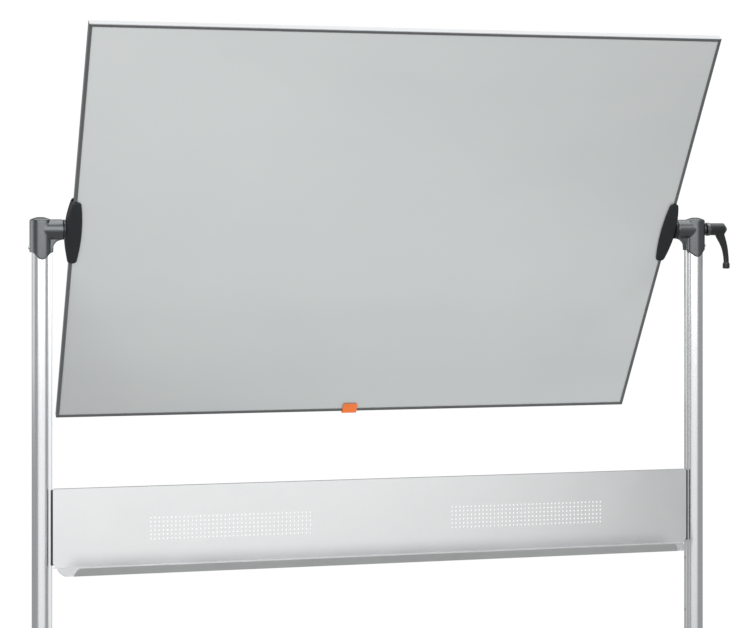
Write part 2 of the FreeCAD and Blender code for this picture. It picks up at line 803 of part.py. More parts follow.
def make_set_screws():
    screws = []
    reach = dim("post_x") + dim("knuckle_rad") + KNUCKLE_SCREW[1] + TOUCH
    for name, side in SIDES:
        body = screw(f"knuckle_screw_{name}", *KNUCKLE_SCREW)
        place_at_pivot(body, reach * side, 0, -dim("set_screw_drop"), FACING["-x" if side > 0 else "+x"])
        screws.append(body)
    together("knuckle_screws", screws)


# ---------------------------------------------------------------- clamp lever, in the right knuckle's frame
def place_at_lever(thing):
    place_at_pivot(thing, dim("post_x"))


def sleeve_path(near, far, bore, radius):
    return [(near, bore), (near, radius), (far, radius), (far, bore)]


def make_clamp_insert():
    """A brass insert for the stud's thread and a nylon pad that presses on the trunnion."""
    boss, bore, radius = dim("boss_end"), dim("stud_rad") + SLIP, dim("insert_rad")
    insert_in = boss - dim("insert_long")
    body = new_body("clamp_insert")
    spin_shape(body, "XZ_Plane", sleeve_path(insert_in, boss, bore, radius), "H_Axis")
    place_at_lever(body)

    body = new_body("clamp_pad")
    pad_in = dim("trunnion_end") - dim("post_x") + SLIP * 2
    pad_path = sleeve_path(pad_in, insert_in - SLIP * 2, 0, radius - SLIP * 2)
    spin_shape(body, "XZ_Plane", pad_path, "H_Axis")
    place_at_lever(body)


def make_clamp_stud():
    """The stud with its collar, the short spline the handle sits on and a plain shaft."""
    body = new_body("clamp_stud")
    stud, soft, near = dim("stud_rad"), dim("stud_chamfer"), dim("boss_end") - dim("insert_long")
    collar, start, end = dim("collar_rad"), dim("collar_start"), dim("collar_end")
    spline, spline_end = dim("spline_rad"), dim("spline_end")
    shaft, shaft_end = dim("shaft_rad"), dim("shaft_end")
    spin_shape(body, "XZ_Plane", [
        (near, 0), (near, stud - soft), (near + soft, stud), (start, stud), (start, collar - soft),
        (start + soft, collar), (end - soft, collar), (end, collar - soft), (end, spline),
        (spline_end, spline), (spline_end, shaft), (shaft_end, shaft), (shaft_end, 0),
    ], "H_Axis")
    cut_round(body, "YZ_Plane", 0, 0, dim("lever_screw_rad") + SLIP, dim("lever_screw_deep") + 1,
              lift=shaft_end)
    place_at_lever(body)


# Down from the axis, out from the post's middle, half width along X and half width along Y.
ARM_SECTIONS = (
    (8.5, 54.0, 9.0, 7.6), (24.0, 59.7, 7.8, 6.6), (36.0, 64.2, 6.2, 5.9), (49.0, 67.0, 5.3, 5.2),
    (61.0, 68.4, 5.0, 5.0), (70.0, 68.5, 5.0, 5.0),
)
ARM_CORNER = 0.7


def make_lever_handle():
    """A hub that slides on the stud, a curved arm and a rounded tip."""
    body = new_body("lever_handle")
    hub, hub_in, hub_out, nose = dim("hub_rad"), dim("hub_start"), dim("hub_finish"), dim("hub_nose")
    soft, well, well_floor = dim("hub_round"), dim("button_rad") + dim("button_gap"), well_floor_x()
    spline, shaft = dim("spline_rad") + SLIP, dim("shaft_rad") + SLIP
    spline_end, shaft_end = dim("spline_end") + dim("hub_gap"), dim("shaft_end") + dim("hub_gap")
    hole = dim("lever_screw_rad") + dim("hub_gap")
    spin_shape(body, "XZ_Plane", [
        (hub_in, spline), (hub_in, hub - soft), (hub_in + soft, hub), (hub_out, hub),
        (nose, well + dim("nose_wall")), (nose, well), (well_floor, well), (well_floor, hole),
        (shaft_end, hole), (shaft_end, shaft), (spline_end, shaft), (spline_end, spline),
    ], "H_Axis")
    # the arm: sections that shrink and lean outwards on the way down
    sections = []
    for drop, x, half_x, half_y in ARM_SECTIONS:
        sketch = new_sketch(body, "XY_Plane", -drop)
        trace(sketch, rounded_path(x - half_x, -half_y, x + half_x, half_y, half_y * ARM_CORNER))
        sections.append(sketch)
    loft = body.newObject("PartDesign::AdditiveLoft", "lever_arm")
    loft.Profile = sections[0]
    loft.Sections = sections[1:]
    knob = new_sketch(body, "XZ_Plane")
    x, r, soft = dim("knob_x"), dim("knob_rad"), dim("knob_round")
    top, low = dim("knob_top"), dim("knob_bottom")
    trace(knob, [
        (x, -top), (x, -low), (x + r - soft, -low, soft), (x + r, -low + soft), (x + r, -top - soft, soft),
        (x + r - soft, -top),
    ])
    turned = body.newObject("PartDesign::Revolution", "lever_knob")
    turned.Profile = knob
    turned.ReferenceAxis = (knob, ["Edge1"])
    turned.Angle = 360
    place_at_lever(body)


def well_floor_x():
    """The floor of the handle's well, where the spring sits."""
    return dim("shaft_end") + dim("hub_gap") + dim("handle_web")


def make_lever_screw():
    """The spring that holds the handle on the spline, and the screw that keeps them on the stud."""
    button, floor = dim("button_rad"), well_floor_x()
    spring_in, spring_out = floor + SLIP * 2, floor + SLIP * 2 + dim("spring_long")
    outside = button - SLIP * 2
    body = new_body("lever_spring")
    sleeve = sleeve_path(spring_in, spring_out, outside - dim("spring_wire"), outside)
    spin_shape(body, "XZ_Plane", sleeve, "H_Axis")
    place_at_lever(body)

    body = new_body("lever_screw")
    near, shank = dim("shaft_end") - dim("lever_screw_deep"), dim("lever_screw_rad")
    head, tip, soft = spring_out + SLIP * 2, dim("button_end"), dim("button_chamfer")
    spin_shape(body, "XZ_Plane", [
        (near, 0), (near, shank), (head, shank), (head, button), (tip - soft, button), (tip, button - soft),
        (tip, 0),
    ], "H_Axis")
    place_at_lever(body)


# ---------------------------------------------------------------- pen tray, in the frame of the pivot
HOLE_COLUMNS = 40
HOLE_ROWS = 6
FOLD_RELIEF = 1.4


def hole_block(sketch, sign):
    """Adds one block of perforations to the panel's sketch."""
    pitch = SIZES["hole_pitch"]
    for column in range(HOLE_COLUMNS):
        for line in range(HOLE_ROWS):
            x = (SIZES["hole_first_x"] + pitch * column) * sign
            z = -SIZES["hole_first_z"] - pitch * line
            sketch.addGeometry(Part.Circle(V(x, z, 0), V(0, 0, 1), SIZES["hole_rad"]), False)


def make_tray_panel():
    """One folded sheet: top flange, perforated front panel, sloping floor and raised lip."""
    body = new_body("tray_panel")
    half, front, thin = dim("tray_half"), dim("tray_front"), dim("tray_sheet")
    top, fold = dim("tray_top"), dim("tray_fold")
    soft, corner = dim("tray_top_corner"), dim("tray_low_corner")
    tall_corner = corner * FOLD_RELIEF
    # perforated front panel
    sketch = new_sketch(body, "XZ_Plane", front - thin)
    trace(sketch, [
        (half - corner, -fold), (half, -fold + tall_corner), (half, -top - soft), (half - soft, -top),
        (-half + soft, -top), (-half, -top - soft), (-half, -fold + tall_corner), (-half + corner, -fold),
    ])
    for sign in (-1, 1):
        hole_block(sketch, sign)
    pad(body, sketch, thin)
    # top flange, bent back with a round outer edge
    flange_long = (half - soft) * 2 - OVERCUT
    pad_shape(body, "YZ_Plane", [
        (-front + thin, -top - thin), (-front + thin, -top), (-front + dim("tray_flange"), -top),
        (-front + dim("tray_flange"), -top - thin),
    ], flange_long, middle=True)
    pad_shape(body, "YZ_Plane", [
        (-front, -top - thin * 2), (-front, -top - thin, -thin), (-front + thin, -top),
        (-front + thin, -top - thin * 2),
    ], flange_long, middle=True)
    # floor and lip, one sheet thick: fold, slope down, tight bend, lip
    y1, z1 = -dim("trough_deep"), -dim("trough_drop")
    y2, z2 = -dim("tray_lip_y"), -dim("tray_lip_top")
    over, under = dim("fold_over"), dim("fold_under")
    trough = [
        (-front, -fold - over), (-front - under, -fold - over - thin), (y1, z1 + thin), (y2 + thin, z2),
        (y2, z2), (y1 - thin, z1 + over), (y1 - over, z1), (-front - thin, -fold - under),
        (-front + thin, -fold - thin), (-front + thin, -fold), (-front, -fold),
    ]
    pad_shape(body, "YZ_Plane", trough, half * 2, middle=True)
    # the trough's ends curve in towards the bend, and the lip starts further in than the floor
    near, deep, wide = -front - TOUCH, y2 - OVERCUT, half + OVERCUT
    low_x, top_x = half - dim("lip_low_in"), half - dim("lip_top_in")
    path = [
        (half - dim("floor_near"), near), (wide, near), (wide, deep), (top_x, deep),
        (top_x, y2, dim("lip_round")), (low_x, y1), (half - dim("floor_far"), y1, dim("floor_round")),
    ]
    for sign in (-1, 1):
        cut_shape(body, "XY_Plane", path, dim("trough_deep"), lift=-fold + dim("trough_deep") / 2, side=sign)
    place_at_pivot(body)


def make_tray_brackets():
    """Moulded end brackets: a strip beside the panel, a leg behind it and a tab on the rail's inner face."""
    front, thick, inner, out = dim("tray_front"), dim("bracket_thick"), dim("bracket_in"), dim("bracket_out")
    back, gap = -front + dim("tray_sheet") + SLIP, dim("tray_half") + SLIP * 3
    face = -front + dim("bracket_set_back")
    tab_out, rail = dim("post_x") - dim("rail_reach") - SLIP * 2, dim("rail_half")
    tab_in = tab_out - thick
    tall = dim("bracket_bottom") - dim("bracket_top")
    plan = [
        (inner, back), (gap, back), (gap, face), (out, face), (out, -rail - SLIP * 2),
        (tab_out, -rail - SLIP * 2), (tab_out, rail), (tab_in, rail), (tab_in, back + thick),
        (inner, back + thick),
    ]
    for name, side in SIDES:
        body = new_body(f"tray_bracket_{name}")
        pad_shape(body, "XY_Plane", plan, tall, lift=-dim("bracket_bottom"), side=side)
        for drop in (dim("bracket_screw_top"), dim("bracket_screw_low")):
            cut_round(body, "YZ_Plane", 0, -drop, TRAY_SCREW[2] + SLIP, thick + OVERCUT,
                      lift=(tab_in - OVERCUT / 2) * side, back=side > 0)
        place_at_pivot(body)


def make_tray_screws():
    """Two screws at each end, through the bracket's tab into the rail."""
    screws = []
    reach = dim("post_x") - dim("rail_reach") - SLIP * 2 - dim("bracket_thick") - TRAY_SCREW[1]
    for name, side in SIDES:
        for drop in ("bracket_screw_top", "bracket_screw_low"):
            body = screw(f"{drop}_{name}", *TRAY_SCREW)
            place_at_pivot(body, reach * side, 0, -dim(drop), FACING["+x" if side > 0 else "-x"])
            screws.append(body)
    together("tray_screws", screws)


# ---------------------------------------------------------------- base
def foot_x(side):
    return dim("middle_x") + dim("post_x") * side


def foot_section(inset=0):
    half, r = dim("foot_wide") / 2 - inset, dim("foot_round") - inset
    low = dim("foot_bottom") + inset
    return rounded_path(-half, low, half, dim("foot_bottom") + dim("foot_tall") - inset, r)


def make_feet():
    """Rounded rectangular tubes that run front to back."""
    low, wall, tall = dim("foot_bottom"), dim("foot_wall"), dim("foot_tall")
    for name, side in SIDES:
        body = new_body(f"foot_{name}")
        sketch = new_sketch(body, "XZ_Plane")
        trace(sketch, foot_section())
        trace(sketch, foot_section(wall))
        pad(body, sketch, dim("foot_half") * 2, middle=True)
        for sign in (-1, 1):
            cut_round(body, "XY_Plane", 0, dim("caster_y") * sign, dim("thread_rad") + SLIP * 4,
                      wall + OVERCUT, lift=low + wall + OVERCUT / 2)
            cut_round(body, "XY_Plane", 0, dim("socket_bolt_y") * sign, dim("foot_bolt_hole"), tall + OVERCUT,
                      lift=low - OVERCUT / 2, back=True)
        place(body, foot_x(side), 0, 0)


def make_foot_caps():
    """Plugs in the feet's ends; each plug also carries a caster's stem."""
    caps = []
    start, plate, step = dim("foot_half"), dim("cap_plate"), dim("cap_step")
    for name, side in SIDES:
        for end in (-1, 1):
            body = new_body(f"foot_cap_{name}_{'front' if end < 0 else 'rear'}", keep=False)
            pad_shape(body, "XZ_Plane", foot_section(), plate - step, lift=start)
            pad_shape(body, "XZ_Plane", foot_section(step), step, lift=start + plate - step)
            plug = foot_section(dim("foot_wall") + SLIP * 2)
            pad_shape(body, "XZ_Plane", plug, dim("cap_plug"), lift=start, back=True)
            cut_round(body, "XY_Plane", 0, -dim("caster_y"), dim("thread_rad"), dim("thread_long") + 1,
                      lift=dim("foot_bottom"), back=True)
            place(body, foot_x(side), 0, 0, HALF_TURN if end > 0 else None)
            caps.append(body)
    together("foot_end_caps", caps)


def make_sockets():
    """Cast sockets on the feet that hold the posts."""
    low = dim("foot_bottom") + dim("foot_tall")
    wide, long_half, base = dim("socket_wide") / 2, dim("socket_long") / 2, dim("socket_base")
    step, corner, r = dim("socket_step"), dim("socket_corner"), dim("socket_rad")
    rib_top, rib_low = dim("rib_top"), dim("rib_low")
    for name, side in SIDES:
        body = new_body(f"post_socket_{name}")
        plate = rounded_path(-wide, -long_half, wide, long_half, corner)
        top = rounded_path(step - wide, step - long_half, wide - step, long_half - step, corner - step)
        pad_shape(body, "XY_Plane", plate, base - step, lift=low)
        pad_shape(body, "XY_Plane", top, step, lift=low + base - step)
        collar = keyhole_path(r, dim("knuckle_inner") + 1)
        pad_shape(body, "XY_Plane", collar, dim("socket_top") - low, lift=low)
        # ribs in front of and behind the collar
        rib = [
            (0, low + base - step), (long_half - rib_low, low + base - step),
            (r + rib_low / 3, low + base + rib_low, -dim("rib_round")), (r - step, low + rib_top),
            (0, low + rib_top),
        ]
        for sign in (-1, 1):
            pad_shape(body, "YZ_Plane", rib, dim("rib_thick"), middle=True, side=sign)
        cut_shape(body, "XY_Plane", post_path(dim("post_fit")), dim("socket_top") - dim("post_bottom"),
                  lift=dim("post_bottom"), back=True)
        for sign in (-1, 1):
            cut_round(body, "XY_Plane", 0, dim("socket_bolt_y") * sign, SOCKET_BOLT[2] + SLIP * 2,
                      base - OVERCUT, lift=low, back=True)
        place(body, foot_x(side), 0, 0, HALF_TURN if side < 0 else None)


def make_socket_bolts():
    bolts = []
    for name, side in SIDES:
        for end in (-1, 1):
            body = screw(f"socket_bolt_{name}_{'front' if end < 0 else 'rear'}", *SOCKET_BOLT)
            place(body, foot_x(side), dim("socket_bolt_y") * end, dim("foot_bottom") - SOCKET_BOLT[1])
            bolts.append(body)
    together("socket_bolts", bolts)


# ---------------------------------------------------------------- casters
CASTERS = (
    ("front_left", -1, -1), ("front_right", 1, -1), ("rear_left", -1, 1), ("rear_right", 1, 1),
)


# Angles in degrees about the axle, from the rear horizontal upwards and over to the front.
HOOD_FROM = 12
HOOD_MID = 95
HOOD_TO = 178
NOTCH_FROM = 122
NOTCH_TO = 181
PEDAL_ANGLE = 130
WEB_LAP = 3.0


def polar(radius, degrees):
    """A point of the caster's side view, y then z, at a radius and angle about the axle."""
    a = math.radians(degrees)
    return (-dim("trail") + radius * math.cos(a), dim("wheel_rad") + radius * math.sin(a))


def place_caster(thing, side, end):
    place(thing, foot_x(side), dim("caster_y") * end, 0, HALF_TURN if end > 0 else None)


def make_caster_stems():
    """Threaded stems with a round flange under each foot."""
    stems = []
    pin, low, soft, flange = dim("stem_rad"), dim("stem_low"), dim("stem_chamfer"), dim("stem_flange")
    thread, bottom, seat = dim("thread_rad") - SLIP, dim("foot_bottom"), dim("hood_top") + dim("stem_gap")
    end_z = bottom + dim("thread_long")
    for name, side, end in CASTERS:
        body = new_body(f"stem_{name}", keep=False)
        spin_shape(body, "XZ_Plane", [
            (0, low), (pin - soft, low), (pin, low + soft), (pin, seat), (flange, seat), (flange, bottom),
            (thread, bottom), (thread, end_z - soft), (thread - soft, end_z), (0, end_z),
        ], "V_Axis")
        place_caster(body, side, end)
        stems.append(body)
    together("caster_stems", stems)


def make_caster_hood(name, side, end):
    """Central web, arched cover over the wheels with a notch for the brake, and the swivel boss."""
    body = new_body(f"caster_hood_{name}")
    outer, inner, web, disc = dim("hood_out"), dim("hood_in"), dim("web_half"), dim("web_disc")
    # web: a disc about the axle, a fin under the cover and the neck
    sketch = new_sketch(body, "YZ_Plane")
    trace(sketch, [polar(disc, a) + (disc,) for a in (0, 90, 180, 270)])
    pad(body, sketch, web * 2, middle=True)
    root, lap = disc - WEB_LAP, inner + WEB_LAP / 3
    fin = [polar(root, 20), polar(lap, 20) + (lap,), polar(lap, 112), polar(root, 112)]
    pad_shape(body, "YZ_Plane", fin, web * 2, middle=True)
    neck, neck_low, boss_low = dim("neck_half"), dim("neck_low"), dim("boss_low")
    pad_shape(body, "YZ_Plane", box_path(-neck, neck_low, neck, boss_low + WEB_LAP), web * 2, middle=True)
    # arched cover
    arch = [
        polar(outer, HOOD_FROM) + (outer,), polar(outer, HOOD_MID) + (outer,), polar(outer, HOOD_TO),
        polar(inner, HOOD_TO) + (-inner,), polar(inner, HOOD_MID) + (-inner,), polar(inner, HOOD_FROM),
    ]
    pad_shape(body, "YZ_Plane", arch, dim("hood_half") * 2, middle=True)
    # notch for the brake pedal
    above, below = outer + WEB_LAP, disc + WEB_LAP / 3
    notch = [
        polar(above, NOTCH_FROM) + (above,), polar(above, NOTCH_TO), polar(below, NOTCH_TO) + (-below,),
        polar(below, NOTCH_FROM),
    ]
    cut_shape(body, "YZ_Plane", notch, (dim("pedal_half") + dim("pedal_gap")) * 2, middle=True)
    # swivel boss
    top, boss, soft = dim("hood_top"), dim("boss_wide"), dim("stem_chamfer")
    spin_shape(body, "XZ_Plane", [
        (0, boss_low), (neck, boss_low), (boss, boss_low + WEB_LAP), (boss, top - soft), (boss - soft, top),
        (0, top),
    ], "V_Axis")
    cut_round(body, "YZ_Plane", -dim("trail"), dim("wheel_rad"), dim("axle_rad") + SLIP,
              dim("hood_half") * 2, middle=True)
    cut_round(body, "XY_Plane", 0, 0, dim("stem_rad") + SLIP, top - dim("stem_low") + 1, lift=top)
    # holes for the pedal's pins
    y, z = polar(dim("pedal_pin_at"), PEDAL_ANGLE)
    cut_round(body, "YZ_Plane", y, z, dim("pedal_pin") + SLIP * 2, dim("pedal_half") * 3, middle=True)
    place_caster(body, side, end)


def make_caster_axle(name, side, end):
    body = new_body(f"caster_axle_{name}")
    r, reach = dim("axle_rad"), dim("wheel_out") - 1
    sketch = new_sketch(body, "YZ_Plane")
    ring(sketch, -dim("trail"), dim("wheel_rad"), r)
    pad(body, sketch, reach * 2, middle=True)
    place_caster(body, side, end)


def wheel_body(label, path, hand):
    """A turned wheel piece; path is (distance from the middle, radius)."""
    body = new_body(label, keep=False)
    spin_shape(body, "XZ_Plane", path, "H_Axis", hand)
    return body


def make_caster_wheels(name, side, end):
    """A pair of wheels on the axle, each a rim with a soft tyre."""
    near, far, bore = dim("wheel_in"), dim("wheel_out"), dim("axle_rad")
    rad, soft, side_gap = dim("wheel_rad"), dim("tyre_round"), dim("rim_side")
    rim, hub = rad - dim("tyre_thick"), bore + dim("wheel_hub")
    web_in, web_out, rim_in = near + dim("wheel_web_in"), near + dim("wheel_web_out"), rim - dim("rim_thick")
    rim_path = [
        (near, bore), (near, hub), (web_in, hub), (web_in, rim_in), (near + side_gap, rim_in),
        (near + side_gap, rim), (far - side_gap, rim), (far - side_gap, rim_in), (web_out, rim_in),
        (web_out, hub + 1), (far - side_gap * 2, hub), (far - side_gap, bore),
    ]
    tyre_path = [
        (near, rim), (near, rad - soft, -soft), (near + soft, rad), (far - soft, rad, -soft),
        (far, rad - soft), (far, rim),
    ]
    turn = HALF_TURN if end > 0 else FreeCAD.Rotation()
    for label, path in (("caster_rims", rim_path), ("caster_tyres", tyre_path)):
        pair = []
        for hand in (-1, 1):
            body = wheel_body(f"{label}_{name}_{'a' if hand < 0 else 'b'}", path, hand)
            place(body, foot_x(side), dim("caster_y") * end + dim("trail") * end, rad, turn)
            pair.append(body)
        together(f"{label}_{name}", pair)


def make_caster_brake(name, side, end):
    """A rocking pedal in the hood's notch, hung on two stub pins, with a tab for the toe."""
    body = new_body(f"caster_brake_{name}")
    outer, inner, half, tab = dim("hood_out"), dim("hood_in"), dim("pedal_half"), dim("pedal_tab")
    start, bend, toe, low = PEDAL_ANGLE - 4, PEDAL_ANGLE + 38, PEDAL_ANGLE + 30, NOTCH_TO - 6
    band = [
        polar(outer, start) + (outer,), polar(outer, bend), polar(outer + tab, toe),
        polar(outer + tab + 1, toe + 6), polar(outer, low), polar(inner, low - 1) + (-inner,),
        polar(inner, start),
    ]
    pad_shape(body, "YZ_Plane", band, half * 2, middle=True)
    y, z = polar(dim("pedal_pin_at"), PEDAL_ANGLE)
    sketch = new_sketch(body, "YZ_Plane")
    ring(sketch, y, z, dim("pedal_pin"))
    pad(body, sketch, (half + dim("pedal_pin_out")) * 2, middle=True)
    place_caster(body, side, end)


# ---------------------------------------------------------------- build, check and write
make_frame_lengths()
make_panel_layers()
make_corner_keys()
make_edge_tab()
make_pivot_plates()
make_trunnions()
make_plate_screws()
make_posts()
make_knuckles()
make_bushes()
make_set_screws()
make_clamp_insert()
make_clamp_stud()
make_lever_handle()
make_lever_screw()
make_tray_panel()
make_tray_brackets()
make_tray_screws()
make_feet()
make_foot_caps()
make_sockets()
make_socket_bolts()
make_caster_stems()
for caster in CASTERS:
    make_caster_hood(*caster)
    make_caster_axle(*caster)
    make_caster_wheels(*caster)
    make_caster_brake(*caster)

doc.recompute()
failed = [o.Label for o in doc.Objects if "Invalid" in o.State or "Error" in o.State]
if failed:
    raise SystemExit(f"these objects failed: {failed}")
os.makedirs("parts", exist_ok=True)
for part in SUB_PARTS:
    shape = part.Shape
    if shape.isNull() or not shape.isValid() or not shape.Solids:
        raise SystemExit(f"{part.Label} has no valid solid")
    shape.exportStep(f"parts/{part.Label}.step")
    box = shape.BoundBox
    low, high = (box.XMin, box.YMin, box.ZMin), (box.XMax, box.YMax, box.ZMax)
    print(f"{part.Label:28s} solids {len(shape.Solids)}  volume {shape.Volume:12.0f}",
          [round(a, 1) for a in low], [round(a, 1) for a in high])
print(len(SUB_PARTS), "nodes")
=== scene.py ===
import json
import math

import bmesh
import bpy
from mathutils import Matrix, Vector

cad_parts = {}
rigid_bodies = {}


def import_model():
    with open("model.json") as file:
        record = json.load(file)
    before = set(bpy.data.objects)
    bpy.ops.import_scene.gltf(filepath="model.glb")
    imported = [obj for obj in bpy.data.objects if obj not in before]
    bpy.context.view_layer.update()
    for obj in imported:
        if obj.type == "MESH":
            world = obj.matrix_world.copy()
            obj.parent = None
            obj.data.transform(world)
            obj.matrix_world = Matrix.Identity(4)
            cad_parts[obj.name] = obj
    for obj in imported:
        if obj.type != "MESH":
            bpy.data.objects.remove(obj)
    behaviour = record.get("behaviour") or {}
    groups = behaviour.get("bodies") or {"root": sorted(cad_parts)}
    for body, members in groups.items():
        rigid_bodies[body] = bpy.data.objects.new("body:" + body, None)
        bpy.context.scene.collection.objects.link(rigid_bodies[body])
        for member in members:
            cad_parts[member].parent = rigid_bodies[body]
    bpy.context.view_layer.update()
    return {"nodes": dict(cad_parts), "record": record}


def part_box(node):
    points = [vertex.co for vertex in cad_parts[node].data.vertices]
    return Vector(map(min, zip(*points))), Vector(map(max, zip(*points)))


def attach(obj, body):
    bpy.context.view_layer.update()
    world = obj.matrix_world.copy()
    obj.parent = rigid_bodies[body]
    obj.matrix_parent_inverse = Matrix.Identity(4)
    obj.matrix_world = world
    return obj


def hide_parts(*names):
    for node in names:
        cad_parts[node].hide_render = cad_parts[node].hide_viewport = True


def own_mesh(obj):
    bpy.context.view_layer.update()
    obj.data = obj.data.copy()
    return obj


# Looks of the rolling whiteboard: materials for every CAD node, finer pieces where moulded or turned
# shapes need them, a floor, studio lights that mostly reach only some pieces, and the camera. Metres, in
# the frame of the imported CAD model.

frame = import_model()
NODES = frame["nodes"]
SLOTS = {part["node"]: part["material_slot"] for part in frame["record"]["subparts"]}
MM = 0.001


# ---------------------------------------------------------------- places, read from the frame
def middle(node):
    low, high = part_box(node)
    return (low + high) / 2


POSTS_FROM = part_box("post_left")[0].x
POSTS_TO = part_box("post_right")[1].x
# the middle of the board's axis, and how far its top is tilted forwards about it
PIVOT = Vector(((POSTS_FROM + POSTS_TO) / 2, 0, middle("pivot_bush_left").z))
TILT = math.radians(35.14)
BOARD = Matrix.Translation(PIVOT) @ Matrix.Rotation(TILT, 4, "X")
SIDES = {"left": -1, "right": 1}
# each caster, and which way along Y its end of the foot points
CORNERS = {"front_left": -1, "front_right": -1, "rear_left": 1, "rear_right": 1}
BODY_OF = {node: body for body, nodes in frame["record"]["behaviour"]["bodies"].items() for node in nodes}
JOINTS = frame["record"]["behaviour"]["joints"]
JOINT_AT = {joint["child"]: Vector(joint["pos_m"]) for joint in JOINTS if "pos_m" in joint}


# ---------------------------------------------------------------- materials
class Paint:
    """A Principled material with a few helpers for building its node patterns."""

    def __init__(self, name, metallic=0.0, specular=0.5, coat=0.0, coat_rough=0.1, turn=0.0):
        self.material = bpy.data.materials.new(name)
        self.material.use_nodes = True
        self.tree = self.material.node_tree
        self.shader = self.tree.nodes["Principled BSDF"]
        self.shader.inputs["Metallic"].default_value = metallic
        self.shader.inputs["Specular IOR Level"].default_value = specular
        self.shader.inputs["Coat Weight"].default_value = coat
        self.shader.inputs["Coat Roughness"].default_value = coat_rough
        self.place = self.add("ShaderNodeTexCoord").outputs["Object"]
        if turn:
            self.place = self.mapped(rotation=(turn, 0, 0))

    def add(self, kind, **settings):
        node = self.tree.nodes.new(kind)
        for key, value in settings.items():
            setattr(node, key, value)
        return node

    def wire(self, source, socket):
        self.tree.links.new(source, socket)

    def mapped(self, scale=(1, 1, 1), rotation=(0, 0, 0)):
        node = self.add("ShaderNodeMapping")
        node.inputs["Scale"].default_value = scale
        node.inputs["Rotation"].default_value = rotation
        self.wire(self.place, node.inputs["Vector"])
        return node.outputs["Vector"]

    def noise(self, size, detail=2.0, rough=0.5, stretch=(1, 1, 1)):
        """Noise whose features measure about size metres, more where stretch is over 1."""
        node = self.add("ShaderNodeTexNoise")
        node.inputs["Scale"].default_value = 1.0
        node.inputs["Detail"].default_value = detail
        node.inputs["Roughness"].default_value = rough
        scale = [1 / (size * s) for s in stretch]
        self.wire(self.mapped(scale=scale), node.inputs["Vector"])
        return node.outputs["Fac"]

    def cells(self, size, feature="F1"):
        node = self.add("ShaderNodeTexVoronoi", feature=feature)
        node.inputs["Scale"].default_value = 1 / size
        self.wire(self.place, node.inputs["Vector"])
        return node.outputs["Distance"]

    def spread(self, source, low, high, start=0.3, end=0.7):
        """Maps the useful middle of a pattern to low..high."""
        node = self.add("ShaderNodeMapRange")
        for key, value in (("From Min", start), ("From Max", end), ("To Min", low), ("To Max", high)):
            node.inputs[key].default_value = value
        self.wire(source, node.inputs["Value"])
        return node.outputs["Result"]

    def sum(self, a, b, share=0.5):
        node = self.add("ShaderNodeMix")
        node.inputs["Factor"].default_value = share
        self.wire(a, node.inputs["A"])
        self.wire(b, node.inputs["B"])
        return node.outputs["Result"]

    def colour(self, dark, light, pattern):
        node = self.add("ShaderNodeMix", data_type="RGBA")
        node.inputs["A"].default_value = (*dark, 1)
        node.inputs["B"].default_value = (*light, 1)
        self.wire(pattern, node.inputs["Factor"])
        self.wire(node.outputs["Result"], self.shader.inputs["Base Color"])

    def rough(self, pattern, low, high):
        self.wire(self.spread(pattern, low, high), self.shader.inputs["Roughness"])

    def bump(self, pattern, depth):
        """Relief of about depth metres."""
        node = self.add("ShaderNodeBump")
        node.inputs["Strength"].default_value = 1.0
        node.inputs["Distance"].default_value = depth
        self.wire(pattern, node.inputs["Height"])
        self.wire(node.outputs["Normal"], self.shader.inputs["Normal"])


def shade(colour, factor):
    return tuple(c * factor for c in colour)


def moulded(name, colour, low, high, grain=0.35 * MM, depth=0.02 * MM, specular=0.5, vary=0.12,
            metallic=0.0):
    """Moulded plastic or cast and lacquered metal: fine grain, slight mottling of colour and gloss."""
    paint = Paint(name, metallic=metallic, specular=specular)
    cloud = paint.noise(18 * MM, detail=3)
    fine = paint.noise(grain, detail=1)
    mottle = paint.spread(paint.sum(cloud, fine, 0.35), 0, 1)
    paint.colour(shade(colour, 1 - vary), shade(colour, 1 + vary), mottle)
    paint.rough(cloud, low, high)
    paint.bump(fine, depth)
    return paint.material


def drawn_metal(name, colour, low, high, stretch, turn=0.0, depth=0.004 * MM):
    """Extruded or drawn metal with fine lines along its length."""
    paint = Paint(name, metallic=1.0, turn=turn)
    lines = paint.noise(0.25 * MM, detail=2, stretch=stretch)
    broad = paint.noise(2.5 * MM, detail=2, stretch=stretch)
    both = paint.sum(lines, broad, 0.5)
    paint.colour(shade(colour, 0.93), shade(colour, 1.04), paint.spread(both, 0, 1))
    paint.rough(both, low, high)
    paint.bump(lines, depth)
    return paint.material


def writing_surface():
    """Lacquered steel: a faint orange peel and a haze of wiped marks in its gloss."""
    paint = Paint("writing_surface", specular=0.4, coat=0.35, coat_rough=0.16, turn=-TILT)
    haze = paint.noise(60 * MM, detail=4, rough=0.6, stretch=(4, 1, 1.4))
    cloud = paint.noise(350 * MM, detail=2)
    peel = paint.noise(1.6 * MM, detail=1)
    mottle = paint.spread(paint.sum(haze, cloud, 0.6), 0, 1)
    paint.colour((0.530, 0.549, 0.545), (0.560, 0.573, 0.566), mottle)
    paint.rough(haze, 0.30, 0.40)
    paint.bump(peel, 0.004 * MM)
    return paint.material


def core_board():
    paint = Paint("core_board", specular=0.2)
    comb = paint.cells(9 * MM, "DISTANCE_TO_EDGE")
    fibre = paint.noise(1.2 * MM, detail=3)
    paint.colour((0.38, 0.28, 0.17), (0.70, 0.57, 0.40), paint.spread(comb, 0, 1, 0.0, 0.25))
    paint.rough(fibre, 0.75, 0.95)
    paint.bump(fibre, 0.15 * MM)
    return paint.material


def tray_silver():
    """Silver lacquer on sheet steel, with fine metal flake."""
    paint = Paint("tray_silver", metallic=0.92)
    flake = paint.cells(0.5 * MM)
    cloud = paint.noise(120 * MM, detail=3)
    paint.colour((0.68, 0.69, 0.69), (0.76, 0.77, 0.77), paint.spread(paint.sum(flake, cloud, 0.6), 0, 1))
    paint.rough(cloud, 0.40, 0.47)
    paint.bump(flake, 0.003 * MM)
    return paint.material


